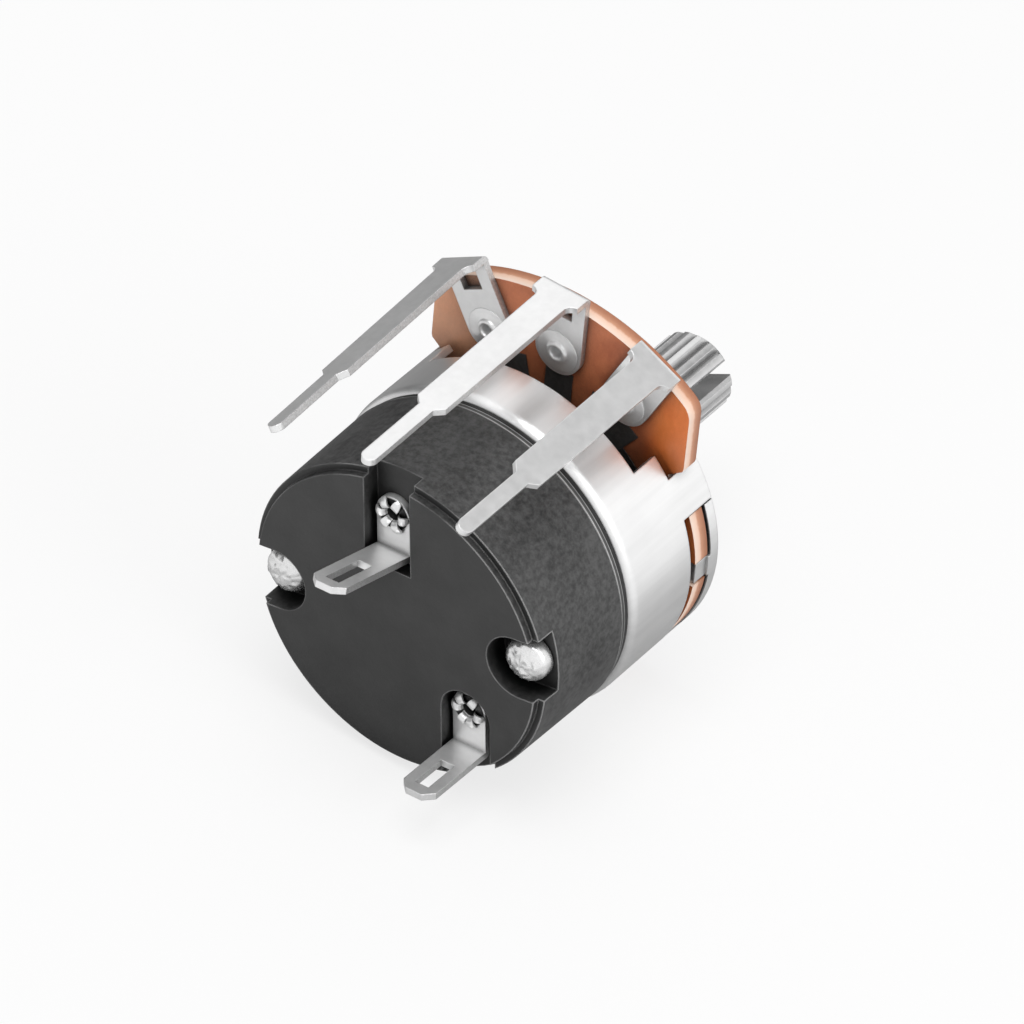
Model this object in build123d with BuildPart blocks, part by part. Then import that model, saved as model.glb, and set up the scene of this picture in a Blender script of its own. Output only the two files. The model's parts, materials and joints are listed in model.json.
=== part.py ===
from build123d import *
import os
from math import cos, degrees, radians, sin, tan

# A switched rotary potentiometer, in millimetres.
# The origin is the centre of the mounting face. The shaft points along -Y, the switch lies along +Y,
# and the three potentiometer terminals stand up along +Z.
# A height is measured along the shaft from the mounting face, positive towards the knob.
# A turn is an angle about the shaft, clockwise from +Z as seen from the knob.

# Radius of the can: the plate, the board, the rotor and the switch follow it
can_radius = 12.4

# Stack of the body, from the mounting face back to the switch
plate_thickness = 1.1
board_thickness = 1.4
can_depth = 7.3
cover_thickness = 0.75
housing_depth = 8.95

# Mounting plate and bushing
plate_radius = can_radius
plate_flat_drop = 3.0
plate_flat = plate_radius - plate_flat_drop
plate_rim_width = 1.0
plate_rim_relief = 0.25
plate_lug_width = 1.7
plate_lug_depth = 1.2
plate_lug_thickness = 0.7
plate_lug_inset = 0.2
key_inset = 3.8
key_radius = plate_radius - key_inset
key_width = 2.4
key_height = 2.3
key_thickness = 1.0
key_relief = 0.5
bushing_radius = 3.5
bushing_length = 6.5
bushing_shoulder = 4.9
bushing_chamfer = 0.3

# Potentiometer board with its printed layers
board_inset = 0.1
board_radius = can_radius - board_inset
board_hole = 4.0
ear_side_inset = 1.9
ear_half_width = can_radius - ear_side_inset
ear_reach = 4.6
ear_radius = can_radius + ear_reach
ear_drop = 4.8
ear_bottom = can_radius - ear_drop
ear_round = 1.5
ear_bottom_round = 1.0
lug_notch_width = 2.0
lug_notch_depth = 1.3
print_thickness = 0.05
track_inset = 3.0
track_outer = can_radius - track_inset
track_width = 2.4
track_inner = track_outer - track_width
collector_inner = 4.2
collector_outer = 5.3
collector_arm = 2.2
pad_half = 11.0
print_gap = 0.05

# Can of the potentiometer
can_sheet = 0.5
can_corner = 0.75
can_hole = 2.9
window_drop = 0.65
cutout_half = 43.5
cutout_drop = 3.0
crimp_turns = (-130.0, -59.5, 59.5, 130.0)
crimp_half = 7.2
crimp_fold = 1.2
crimp_gap = 0.05
crimp_slack = 0.5
stop_half = 11.0
stop_depth = 1.6
stop_drop = 2.7
stop_height = 3.0

# Potentiometer terminals
terminal_labels = ("terminal_track_start", "terminal_wiper", "terminal_track_end")
terminal_turns = (25.3, 0.0, -25.3)
terminal_sheet = 0.5
eyelet_reach = 0.8
eyelet_circle = can_radius + eyelet_reach
base_half_width = 1.85
leg_rise = 6.2
leg_face = can_radius + leg_rise
terminal_leans = (0.5, 1.5, 0.5)
terminal_swings = (5.0, 0.0, 0.0)
terminal_sways = (2.0, 0.0, 0.0)
bend_round = 0.45
head_length = 1.5
shoulder_length = 0.7
stem_half_width = 1.2
stem_end_half_width = 1.15
stem_end = 17.5
pin_shoulder = 0.6
pin_half_width = 0.57
pin_end = 24.7
window_width = 1.7
window_length = 1.4
window_margin = 0.5
eyelet_shank = 0.95
eyelet_head = 1.65
eyelet_head_height = 0.4
eyelet_bore = 0.55
eyelet_tail = 1.3
eyelet_tail_height = 0.3

# Switch housing and cover
switch_turn = 5.6
housing_inset = 0.45
housing_radius = can_radius - housing_inset
housing_draft = 1.2
rim_step_width = 0.5
rim_step_depth = 0.55
housing_wall = 1.75
cavity_radius = housing_radius - housing_wall
rear_wall = 3.0
cover_inset = 0.4
cover_radius = can_radius - cover_inset
rivet_inset = 1.95
rivet_circle = housing_radius - rivet_inset
rivet_turn = 11.0
rivet_shank = 1.0
rivet_head = 1.65
rivet_head_edge = 0.35
rivet_head_height = 1.3
rivet_tail_radius = 1.5
rivet_tail_height = 0.5
rivet_notch = 2.4
rivet_notch_depth = 2.0
rivet_boss = 2.7

# Solder lugs of the switch, in the turned frame of the switch
slot_depth = 1.5
upper_slot_width = 3.75
lower_slot_width = 4.0
lug_sheet = 0.5
lug_width = 2.7
lug_end_chamfer = 0.7
lug_hole_width = 1.1
lug_hole_end = 0.9
upper_lug_inset = 1.95
upper_lug = (0.8, cavity_radius - upper_lug_inset)
upper_slot_shift = 0.25
upper_slot_middle = upper_lug[0] - upper_slot_shift
upper_slot_drop = 3.75
upper_slot_end = upper_lug[1] - upper_slot_drop
upper_tab_length = 8.4
upper_tab_lean = 14.5
upper_hole_length = 3.7
lower_lug_inset = 4.7
lower_lug = (lower_lug_inset - rivet_circle, -5.5)
lower_slot_shift = 0.45
lower_slot_middle = lower_lug[0] - lower_slot_shift
lower_slot_rise = 2.3
lower_slot_end = lower_lug[1] + lower_slot_rise
lower_tab_length = 6.7
lower_tab_lean = 2.0
lower_hole_length = 2.9
lug_bend_drop = 3.6
lug_bend_round = 0.4
lug_shank = 0.7
lug_flare = 1.55
lug_flare_height = 0.5
lug_flare_slits = 5
lug_flare_slit = 0.3
lug_bore = 0.4
lug_clench = 0.95

# Contacts inside the switch
contact_sheet = 0.3
leaf_sheet = 0.2
leaf_width = 2.5
leaf_lift = 1.0
leaf_side_gap = 0.4
leaf_wall = rivet_boss + leaf_side_gap - rivet_circle
contact_rise = 1.0
contact_line = cavity_radius / 2 + contact_rise
leaf_overhang = 0.9
leaf_end = contact_line + leaf_overhang
contact_half = 1.15
contact_gap = 0.7
contact_pad_radius = 0.8
contact_pad_height = 0.4
foot_half = 1.3

# Shaft
shaft_radius = 3.0
shaft_tip = 15.2
shaft_chamfer = 0.4
shaft_bore_gap = 0.04
collar_radius = 3.7
journal_radius = 2.5
journal_flat = 1.9
journal_depth = 8.6
spline_length = 7.0
spline_teeth = 18
spline_depth = 0.4
spline_width = 0.62
split_width = 1.1
split_depth = 7.0
split_turn = -60.5
ring_seat = 0.05
ring_groove_radius = 2.45
ring_thickness = 0.6
ring_outer = 3.2
ring_gap_half = 35.0

# Rotor, wiper and switch cam
travel = 300.0
stop_clearance = 1.0
rotor_inset = 3.1
rotor_radius = can_radius - rotor_inset
rotor_front_gap = 2.0
rotor_thickness = 1.6
rotor_lug_overlap = 1.0
rotor_lug_root = rotor_radius - rotor_lug_overlap
rotor_lug_gap = 0.4
rotor_lug_reach = can_radius - can_sheet - rotor_lug_gap
hub_radius = 4.4
hub_neck = 3.8
hub_front_gap = 0.15
fit_gap = 0.04
spindle_radius = 2.6
spindle_flat = 2.0
spindle_depth = 14.9
wiper_sheet = 0.2
wiper_base_inner = 4.6
wiper_base_inset = 1.9
wiper_base_outer = rotor_radius - wiper_base_inset
wiper_touch_gap = 0.03
finger_width = 0.55
finger_pitch = 0.8
finger_count = 3
finger_root = 0.2
knee_inset = 0.6
outer_knee = track_inner - knee_inset
knee_shift = 0.15
inner_knee = (wiper_base_outer + collector_outer) / 2 - knee_shift
finger_tip_reach = 0.5
finger_tip_rise = 0.25
cam_radius = 3.7
cam_gap = 0.2
cam_lobe_root = 3.1
cam_lobe_half = 16.0
running_gap = 0.1

# Heights worked out from the stack
board_front = -plate_thickness
board_rear = board_front - board_thickness
can_rear = board_rear - can_depth
can_floor = can_rear + can_sheet
cover_rear = can_rear - cover_thickness
housing_rear = cover_rear - housing_depth
cavity_floor = housing_rear + rear_wall
print_face = board_rear - print_thickness
rotor_front = board_rear - rotor_front_gap
rotor_rear = rotor_front - rotor_thickness

# Turns worked out from the travel: the joint rests at its stop with the wiper by the first terminal
full_turn = 360.0
half_turn = full_turn / 2
travel_margin = (full_turn - travel) / 2
wiper_turn = travel_margin
rotor_lug_turn = half_turn + travel_margin
rotor_lug_half = travel_margin - stop_half - stop_clearance

# More places worked out from the sizes above
plate_lug_middle = plate_radius - plate_lug_inset - plate_lug_thickness / 2
crimp_seat = can_radius - can_sheet - crimp_gap
stop_face = can_radius - can_sheet - stop_depth
stop_rear = board_rear - stop_drop - stop_height
stop_pocket_half = stop_half - degrees(can_sheet / stop_face)
track_middle = (track_inner + track_outer) / 2
collector_middle = (collector_inner + collector_outer) / 2
print_reach = eyelet_circle - base_half_width - print_gap
slot_floor = housing_rear + slot_depth
lower_slot_round = lower_slot_end - lower_slot_width / 2
fixed_wall = leaf_wall + leaf_sheet + 2 * contact_pad_height + contact_gap
hub_front = board_rear - hub_front_gap
hub_rear = can_floor + running_gap
collar_front = board_front - ring_seat
groove_rear = bushing_length + ring_seat
groove_front = groove_rear + ring_thickness + fit_gap
cam_front = cover_rear - cam_gap
cam_rear = cavity_floor + leaf_lift
cam_lobe_radius = -leaf_wall - leaf_sheet - running_gap
rivet_points = ((rivet_circle, 0), (-rivet_circle, 0))


def place(radius, turn):
    """Point at a radius and a turn, in a plane square to the shaft."""
    return (radius * sin(radians(turn)), radius * cos(radians(turn)))


def across(height, turn=0.0):
    """Plane square to the shaft: local x is X and local y is Z, both turned about the shaft."""
    c, s = cos(radians(turn)), sin(radians(turn))
    return Plane(origin=(0, -height, 0), x_dir=(c, 0, -s), z_dir=(0, -1, 0))


def along(turn=90.0, centre=(0, 0)):
    """Plane through an axis parallel to the shaft: local x runs out at the turn, local y is the height."""
    outward = (sin(radians(turn)), 0, cos(radians(turn)))
    return Plane(origin=(centre[0], 0, centre[1]), x_dir=outward, z_dir=(outward[2], 0, -outward[0]))


def facing(radius, turn):
    """Plane square to a radius: local x runs round the shaft, local y runs back from the mounting face."""
    x, z = place(radius, turn)
    c, s = cos(radians(turn)), sin(radians(turn))
    return Plane(origin=(x, 0, z), x_dir=(c, 0, -s), z_dir=(s, 0, c))


def ring_piece(inner, outer, middle, half, mode=Mode.ADD):
    """Face of part of a ring between two radii."""
    start, end = middle - half, middle + half
    with BuildLine() as outline:
        ThreePointArc(place(outer, start), place(outer, middle), place(outer, end))
        Line(place(outer, end), place(inner, end))
        ThreePointArc(place(inner, end), place(inner, middle), place(inner, start))
        Line(place(inner, start), place(outer, start))
    make_face(outline.edges(), mode=mode)


def wedge(half, reach):
    """Face of a wedge about +Z, from the shaft out past a wall."""
    with BuildLine() as outline:
        Polyline((0, 0), place(reach, -half), place(reach, half), close=True)
    make_face(outline.edges())


def axis_at(centre):
    """Axis parallel to the shaft through a point given as X and Z."""
    return Axis((centre[0], 0, centre[1]), (0, 1, 0))


def turned(point, turn):
    """X and Z of a point given in a frame that is turned about the shaft."""
    x, z = point
    c, s = cos(radians(turn)), sin(radians(turn))
    return (x * c + z * s, -x * s + z * c)


def finish(part, label):
    """Name a finished piece and write it."""
    part.label = label
    export_step(part, f"parts/{label}.step")


os.makedirs("parts", exist_ok=True)
rivet_places = [turned(point, rivet_turn) for point in rivet_points]

# Mounting plate: a round steel plate with a flat over the terminals, seats for the four crimped tabs,
# two lugs bent back into the board and a key lanced forward that stops the body turning in its panel
with BuildPart() as mounting_plate:
    with BuildSketch(across(board_front)):
        Circle(plate_radius)
        with Locations((0, plate_flat + plate_radius)):
            Rectangle(2 * plate_radius, 2 * plate_radius, mode=Mode.SUBTRACT)
        Circle(bushing_shoulder + fit_gap, mode=Mode.SUBTRACT)
        with Locations((key_radius - key_thickness - key_height / 2, 0)):
            Rectangle(key_height, key_width + 2 * key_relief, mode=Mode.SUBTRACT)
        for turn in crimp_turns:
            ring_piece(crimp_seat, 2 * plate_radius, turn, crimp_half + crimp_slack, Mode.SUBTRACT)
    extrude(amount=plate_thickness)
    with BuildSketch(across(-can_sheet - crimp_gap)):
        for turn in crimp_turns:
            ring_piece(crimp_seat - crimp_fold - crimp_gap, plate_radius, turn, crimp_half + crimp_slack)
    extrude(amount=plate_thickness, mode=Mode.SUBTRACT)
    with BuildSketch(across(board_front)):
        with Locations((key_radius - key_thickness / 2, 0)):
            Rectangle(key_thickness, key_width)
    extrude(amount=plate_thickness + key_height)
    with BuildSketch(across(board_front)):
        with Locations((plate_lug_middle, 0), (-plate_lug_middle, 0)):
            Rectangle(plate_lug_thickness, plate_lug_width)
    extrude(amount=-plate_lug_depth)
    with BuildSketch(across(board_front)):
        Circle(2 * plate_radius)
        Circle(plate_radius - plate_rim_width, mode=Mode.SUBTRACT)
        with Locations((0, plate_flat)):
            Rectangle(4 * plate_radius, 2 * plate_rim_width)
        Rectangle(2 * plate_radius, plate_lug_width, mode=Mode.SUBTRACT)
    extrude(amount=plate_rim_relief, mode=Mode.SUBTRACT)
finish(mounting_plate.part, "mounting_plate")

# Bushing: a tube with a shoulder staked into the plate
with BuildPart() as bushing:
    with BuildSketch(along()):
        with BuildLine():
            Polyline(
                (shaft_radius + shaft_bore_gap, board_front),
                (bushing_shoulder, board_front),
                (bushing_shoulder, 0),
                (bushing_radius, 0),
                (bushing_radius, bushing_length - bushing_chamfer),
                (bushing_radius - bushing_chamfer, bushing_length),
                (shaft_radius + shaft_bore_gap, bushing_length),
                close=True,
            )
        make_face()
    revolve(axis=Axis.Y)
finish(bushing.part, "bushing")

# Board: a round of phenolic paper with a wide ear that carries the terminals past the can
with BuildPart() as element_board:
    with BuildSketch(across(board_rear)) as board_outline:
        Circle(ear_radius)
        with Locations((0, ear_bottom + ear_radius / 2)):
            Rectangle(2 * ear_half_width, ear_radius, mode=Mode.INTERSECT)
        fillet(board_outline.vertices().group_by(Axis.Y)[0], ear_bottom_round)
        fillet(board_outline.vertices().group_by(Axis.Y)[-1], ear_round)
        Circle(board_radius)
        Circle(board_hole, mode=Mode.SUBTRACT)
        for turn in crimp_turns:
            ring_piece(crimp_seat, 2 * board_radius, turn, crimp_half + crimp_slack, Mode.SUBTRACT)
        with Locations((board_radius, 0), (-board_radius, 0)):
            Rectangle(2 * lug_notch_depth, lug_notch_width, mode=Mode.SUBTRACT)
        with Locations(*[place(eyelet_circle, turn) for turn in terminal_turns]):
            Circle(eyelet_shank + fit_gap, mode=Mode.SUBTRACT)
    extrude(amount=board_thickness)
finish(element_board.part, "element_board")

# Resistance track: the carbon horseshoe that the wiper runs on
with BuildPart() as carbon_track:
    with BuildSketch(across(board_rear)):
        ring_piece(track_inner, track_outer, 180, 180 - terminal_turns[0] - pad_half)
    extrude(amount=-print_thickness)
finish(carbon_track.part, "carbon_track")

# Silver pads that join the ends of the track to the outer terminals
with BuildPart() as silver_end_pads:
    with BuildSketch(across(board_rear)):
        for turn in (terminal_turns[0], terminal_turns[-1]):
            ring_piece(track_inner, print_reach, turn, pad_half)
    extrude(amount=-print_thickness)
finish(silver_end_pads.part, "silver_end_pads")

# Collector ring with its arm to the middle terminal
with BuildPart() as collector_ring:
    with BuildSketch(across(board_rear)):
        with Locations((0, print_reach / 2)):
            Rectangle(collector_arm, print_reach)
        Circle(collector_outer)
        Circle(collector_inner, mode=Mode.SUBTRACT)
    extrude(amount=-print_thickness)
finish(collector_ring.part, "collector_ring")

# Can: a drawn cup with a cut-out round the terminals, four crimped tabs and a pressed-in stop pocket
with BuildPart() as can:
    with BuildSketch(along(0)) as cup:
        with BuildLine():
            Polyline(
                (can_hole, can_rear),
                (can_radius, can_rear),
                (can_radius, 0),
                (can_radius - can_sheet - crimp_fold, 0),
                (can_radius - can_sheet - crimp_fold, -can_sheet),
                (can_radius - can_sheet, -can_sheet),
                (can_radius - can_sheet, can_floor),
                (can_hole, can_floor),
                close=True,
            )
        make_face()
        outer_corner, inner_corner = (can_radius, can_rear), (can_radius - can_sheet, can_floor)
        fillet(cup.vertices().sort_by_distance(outer_corner)[0], can_corner)
        fillet(cup.vertices().sort_by_distance(inner_corner)[0], can_corner - can_sheet)
    revolve(axis=Axis.Y)
    with BuildSketch(across(board_rear - cutout_drop)):
        wedge(cutout_half, 2 * can_radius)
    extrude(amount=2 * can_depth, mode=Mode.SUBTRACT)
    with BuildSketch(across(board_rear - window_drop)):
        Circle(2 * can_radius)
        for turn in crimp_turns:
            ring_piece(crimp_fold, 3 * can_radius, turn, crimp_half, Mode.SUBTRACT)
    extrude(amount=can_depth, mode=Mode.SUBTRACT)
    with BuildSketch(across(stop_rear)):
        ring_piece(stop_face, can_radius - can_sheet / 2, 180, stop_half)
    extrude(amount=stop_height)
    with BuildSketch(across(stop_rear + can_sheet)):
        ring_piece(stop_face + can_sheet, 2 * can_radius, 180, stop_pocket_half)
    extrude(amount=stop_height - 2 * can_sheet, mode=Mode.SUBTRACT)
    with BuildSketch(across(can_rear)):
        with Locations(*rivet_places):
            Circle(rivet_shank + fit_gap)
    extrude(amount=can_sheet, mode=Mode.SUBTRACT)
finish(can.part, "can")


def terminal(label, turn, swing, lean, sway):
    """A flat terminal: an eyelet end on the board, a bend past its edge and a leg that runs back.

    The base swings about its eyelet. The leg leans in to the shaft and sways sideways from its bend.
    """
    x, z = place(eyelet_circle, turn)
    c, s = cos(radians(turn + swing)), sin(radians(turn + swing))
    reach = leg_face - eyelet_circle
    base = Plane(origin=(x, -board_rear, z), x_dir=(c, 0, -s), z_dir=(0, -1, 0))
    fold = Plane(origin=(x + reach * s, -board_rear, z + reach * c), x_dir=(c, 0, -s), z_dir=(s, 0, c))
    fold = fold.rotated((-lean, 0, sway))
    with BuildPart() as piece:
        with BuildSketch(base):
            Circle(base_half_width)
            with Locations((0, (reach - terminal_sheet) / 2)):
                Rectangle(2 * base_half_width, reach - terminal_sheet)
            Circle(eyelet_shank + fit_gap, mode=Mode.SUBTRACT)
            with Locations((0, reach - terminal_sheet - window_margin - window_length / 2)):
                Rectangle(window_width, window_length, mode=Mode.SUBTRACT)
        extrude(amount=-terminal_sheet)
        stem_start = head_length + shoulder_length
        stem_stop = stem_end + board_rear
        pin_stop = pin_end + board_rear
        slant = cos(radians(45))
        hollow_x = base_half_width - (base_half_width - stem_half_width) * slant
        hollow = (hollow_x, stem_start - shoulder_length * slant)
        with BuildSketch(fold):
            with BuildLine():
                Polyline((0, 0), (base_half_width, 0), (base_half_width, head_length))
                ThreePointArc((base_half_width, head_length), hollow, (stem_half_width, stem_start))
                Polyline(
                    (stem_half_width, stem_start),
                    (stem_end_half_width, stem_stop),
                    (pin_half_width, stem_stop + pin_shoulder),
                    (pin_half_width, pin_stop - pin_half_width),
                )
                CenterArc((0, pin_stop - pin_half_width), pin_half_width, 0, 90)
                mirror(about=Plane.YZ)
            make_face()
        extrude(amount=-terminal_sheet)
        fillet(piece.edges().filter_by(GeomType.LINE).sort_by_distance(fold.origin)[0], bend_round)
    finish(piece.part, label)


# Terminals: the start of the track, the wiper and the end of the track
for piece in zip(terminal_labels, terminal_turns, terminal_swings, terminal_leans, terminal_sways):
    terminal(*piece)

# Eyelets that clench the terminals to the board
with BuildPart() as terminal_eyelets:
    for turn in terminal_turns:
        centre = place(eyelet_circle, turn)
        head_face = board_rear - terminal_sheet
        with BuildSketch(along(turn, centre)):
            with BuildLine():
                Polyline(
                    (eyelet_bore, head_face - eyelet_head_height),
                    (eyelet_head - eyelet_head_height, head_face - eyelet_head_height),
                    (eyelet_head, head_face),
                    (eyelet_shank, head_face),
                    (eyelet_shank, board_front),
                    (eyelet_tail, board_front),
                    (eyelet_tail, board_front + eyelet_tail_height),
                    (eyelet_bore, board_front + eyelet_tail_height),
                    close=True,
                )
            make_face()
        revolve(axis=axis_at(centre))
finish(terminal_eyelets.part, "terminal_eyelets")

# Switch housing: a moulded cup with a stepped rim, two slots for the lugs and two notches for the rivets
with BuildPart() as switch_housing:
    with BuildSketch(along()):
        with BuildLine():
            Polyline(
                (0, housing_rear),
                (housing_radius - rim_step_width, housing_rear),
                (housing_radius - rim_step_width, housing_rear + rim_step_depth),
                (housing_radius, housing_rear + rim_step_depth),
                (housing_radius + housing_depth * tan(radians(housing_draft)), cover_rear),
                (0, cover_rear),
                close=True,
            )
        make_face()
    revolve(axis=Axis.Y)
    with BuildSketch(across(cavity_floor, rivet_turn)):
        Circle(cavity_radius)
        with Locations(*rivet_points):
            Circle(rivet_boss, mode=Mode.SUBTRACT)
    extrude(amount=cover_rear - cavity_floor, mode=Mode.SUBTRACT)
    with BuildSketch(across(housing_rear, rivet_turn)):
        Rectangle(4 * rivet_circle, 2 * rivet_notch)
        Rectangle(2 * rivet_circle, 2 * rivet_notch, mode=Mode.SUBTRACT)
        with Locations(*rivet_points):
            Circle(rivet_notch)
    extrude(amount=rivet_notch_depth, mode=Mode.SUBTRACT)
    with BuildSketch(across(housing_rear, switch_turn)):
        with Locations((upper_slot_middle, upper_slot_end + housing_radius)):
            Rectangle(upper_slot_width, 2 * housing_radius)
        with Locations((lower_slot_middle, lower_slot_round)):
            Circle(lower_slot_width / 2)
        with Locations((lower_slot_middle, lower_slot_round - housing_radius)):
            Rectangle(lower_slot_width, 2 * housing_radius)
    extrude(amount=slot_depth, mode=Mode.SUBTRACT)
    with BuildSketch(across(housing_rear)):
        with Locations(*rivet_places):
            Circle(rivet_shank + fit_gap)
        with Locations(*[turned(point, switch_turn) for point in (upper_lug, lower_lug)]):
            Circle(lug_shank + fit_gap)
    extrude(amount=housing_depth, mode=Mode.SUBTRACT)
finish(switch_housing.part, "switch_housing")

# Cover: a thin steel disc between the switch and the can
with BuildPart() as switch_cover:
    with BuildSketch(across(cover_rear)):
        Circle(cover_radius)
        Circle(can_hole, mode=Mode.SUBTRACT)
        with Locations(*rivet_places):
            Circle(rivet_shank + fit_gap, mode=Mode.SUBTRACT)
    extrude(amount=cover_thickness)
finish(switch_cover.part, "switch_cover")

# Rivets that hold the switch to the can, with domed heads in the notches
with BuildPart() as switch_rivets:
    for centre in rivet_places:
        seat = housing_rear + rivet_notch_depth
        with BuildSketch(along(90, centre)):
            with BuildLine():
                dome_top = (0, seat - rivet_head_height)
                TangentArc(dome_top, (rivet_head, seat - rivet_head_edge), tangent=(1, 0))
                Polyline(
                    (rivet_head, seat - rivet_head_edge),
                    (rivet_head, seat),
                    (rivet_shank, seat),
                    (rivet_shank, can_floor),
                    (rivet_tail_radius, can_floor),
                    (rivet_tail_radius, can_floor + rivet_tail_height),
                    (0, can_floor + rivet_tail_height),
                    dome_top,
                )
            make_face()
        revolve(axis=axis_at(centre))
finish(switch_rivets.part, "switch_rivets")


def solder_lug(label, centre, tab_length, lean, hole_length):
    """A switch lug: an eyelet end on the floor of its slot, a bend and a pierced tab that stands out."""
    x, z = centre
    bend = z - lug_bend_drop
    tilt = radians(lean)
    turn = radians(switch_turn)
    corner_x, corner_z = turned((x, bend), switch_turn)
    tab_plane = Plane(
        origin=(corner_x, -slot_floor, corner_z),
        x_dir=(cos(turn), 0, -sin(turn)),
        z_dir=(cos(tilt) * sin(turn), -sin(tilt), cos(tilt) * cos(turn)),
    )
    tab_start = lug_sheet * tan(tilt)
    with BuildPart() as piece:
        with BuildSketch(across(slot_floor, switch_turn)):
            with Locations(centre):
                Circle(lug_width / 2)
            with Locations((x, (z + bend) / 2)):
                Rectangle(lug_width, z - bend)
            with Locations(centre):
                Circle(lug_shank + fit_gap, mode=Mode.SUBTRACT)
        extrude(amount=-lug_sheet)
        with BuildSketch(tab_plane) as tab:
            with Locations((0, (tab_start + tab_length) / 2)):
                Rectangle(lug_width, tab_length - tab_start)
            chamfer(tab.vertices().group_by(Axis.Y)[-1], lug_end_chamfer)
            with Locations((0, tab_length - lug_hole_end - hole_length / 2)):
                Rectangle(lug_hole_width, hole_length, mode=Mode.SUBTRACT)
        extrude(amount=lug_sheet)
        bend_edge = piece.edges().filter_by(GeomType.LINE).sort_by_distance(tab_plane.origin)[0]
        fillet(bend_edge, lug_bend_round)
    finish(piece.part, label)


# Solder lugs of the switch
solder_lug("switch_lug_upper", upper_lug, upper_tab_length, upper_tab_lean, upper_hole_length)
solder_lug("switch_lug_lower", lower_lug, lower_tab_length, lower_tab_lean, lower_hole_length)

# Eyelets of the lugs: split and flared over the lug outside, clenched on the contact's foot inside
with BuildPart() as lug_eyelets:
    for point in (upper_lug, lower_lug):
        centre = turned(point, switch_turn)
        flare_face = slot_floor - lug_sheet
        foot_face = cavity_floor + contact_sheet
        with BuildSketch(along(90, centre)):
            with BuildLine():
                Polyline(
                    (lug_bore, flare_face - lug_flare_height),
                    (lug_flare, flare_face - lug_flare_height / 2),
                    (lug_flare, flare_face),
                    (lug_shank, flare_face),
                    (lug_shank, foot_face),
                    (lug_clench, foot_face),
                    (lug_clench, foot_face + contact_sheet),
                    (lug_bore, foot_face + contact_sheet),
                    close=True,
                )
            make_face()
        revolve(axis=axis_at(centre))
        with BuildSketch(across(flare_face - lug_flare_height, switch_turn)):
            with Locations(point):
                with PolarLocations((lug_shank + lug_flare) / 2 + lug_flare_slit, lug_flare_slits):
                    Rectangle(lug_flare - lug_shank + lug_flare_slit, lug_flare_slit)
        extrude(amount=lug_flare_height, mode=Mode.SUBTRACT)
finish(lug_eyelets.part, "lug_eyelets")

# Fixed contact: a foot under the upper eyelet and a wall that faces the leaf
with BuildPart() as fixed_contact:
    with BuildSketch(across(cavity_floor, switch_turn)):
        with Locations(upper_lug):
            Rectangle(2 * foot_half, 2 * foot_half)
        with Locations(((fixed_wall + upper_lug[0]) / 2, contact_line)):
            Rectangle(upper_lug[0] - fixed_wall, 2 * contact_half)
        with Locations((upper_lug[0] - foot_half / 2, (contact_line + upper_lug[1]) / 2)):
            Rectangle(foot_half, upper_lug[1] - contact_line)
        with Locations(upper_lug):
            Circle(lug_shank + fit_gap, mode=Mode.SUBTRACT)
    extrude(amount=contact_sheet)
    with BuildSketch(across(cavity_floor, switch_turn)):
        with Locations((fixed_wall + contact_sheet / 2, contact_line)):
            Rectangle(contact_sheet, 2 * contact_half)
    extrude(amount=leaf_lift + leaf_width)
finish(fixed_contact.part, "fixed_contact")

# Moving contact: a spring leaf on the lower eyelet, held open here by the lobe of the cam
with BuildPart() as contact_leaf:
    foot_right = lower_lug[0] + foot_half
    foot_top = lower_lug[1] + foot_half
    foot_bottom = lower_lug[1] - foot_half
    with BuildSketch(across(cavity_floor, switch_turn)):
        with Locations(((leaf_wall + foot_right) / 2, lower_lug[1])):
            Rectangle(foot_right - leaf_wall, 2 * foot_half)
        with Locations(lower_lug):
            Circle(lug_shank + fit_gap, mode=Mode.SUBTRACT)
    extrude(amount=contact_sheet)
    with BuildSketch(across(cavity_floor, switch_turn)):
        with Locations((leaf_wall + leaf_sheet / 2, lower_lug[1])):
            Rectangle(leaf_sheet, 2 * foot_half)
    extrude(amount=leaf_lift + leaf_width)
    with BuildSketch(across(cavity_floor + leaf_lift, switch_turn)):
        with Locations((leaf_wall + leaf_sheet / 2, (foot_bottom + leaf_end) / 2)):
            Rectangle(leaf_sheet, leaf_end - foot_bottom)
    extrude(amount=leaf_width)
finish(contact_leaf.part, "contact_leaf")

# Silver points on the leaf and on the fixed wall, facing each other across the open gap
with BuildPart() as contact_points:
    for wall in (leaf_wall + leaf_sheet, fixed_wall - contact_pad_height):
        point_x, point_z = turned((wall, contact_line), switch_turn)
        turn = radians(switch_turn)
        point_height = cavity_floor + leaf_lift + leaf_width / 2
        wall_plane = Plane(
            origin=(point_x, -point_height, point_z), x_dir=(0, 1, 0), z_dir=(cos(turn), 0, -sin(turn))
        )
        with BuildSketch(wall_plane):
            Circle(contact_pad_radius)
        extrude(amount=contact_pad_height)
finish(contact_points.part, "contact_points")

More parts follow.
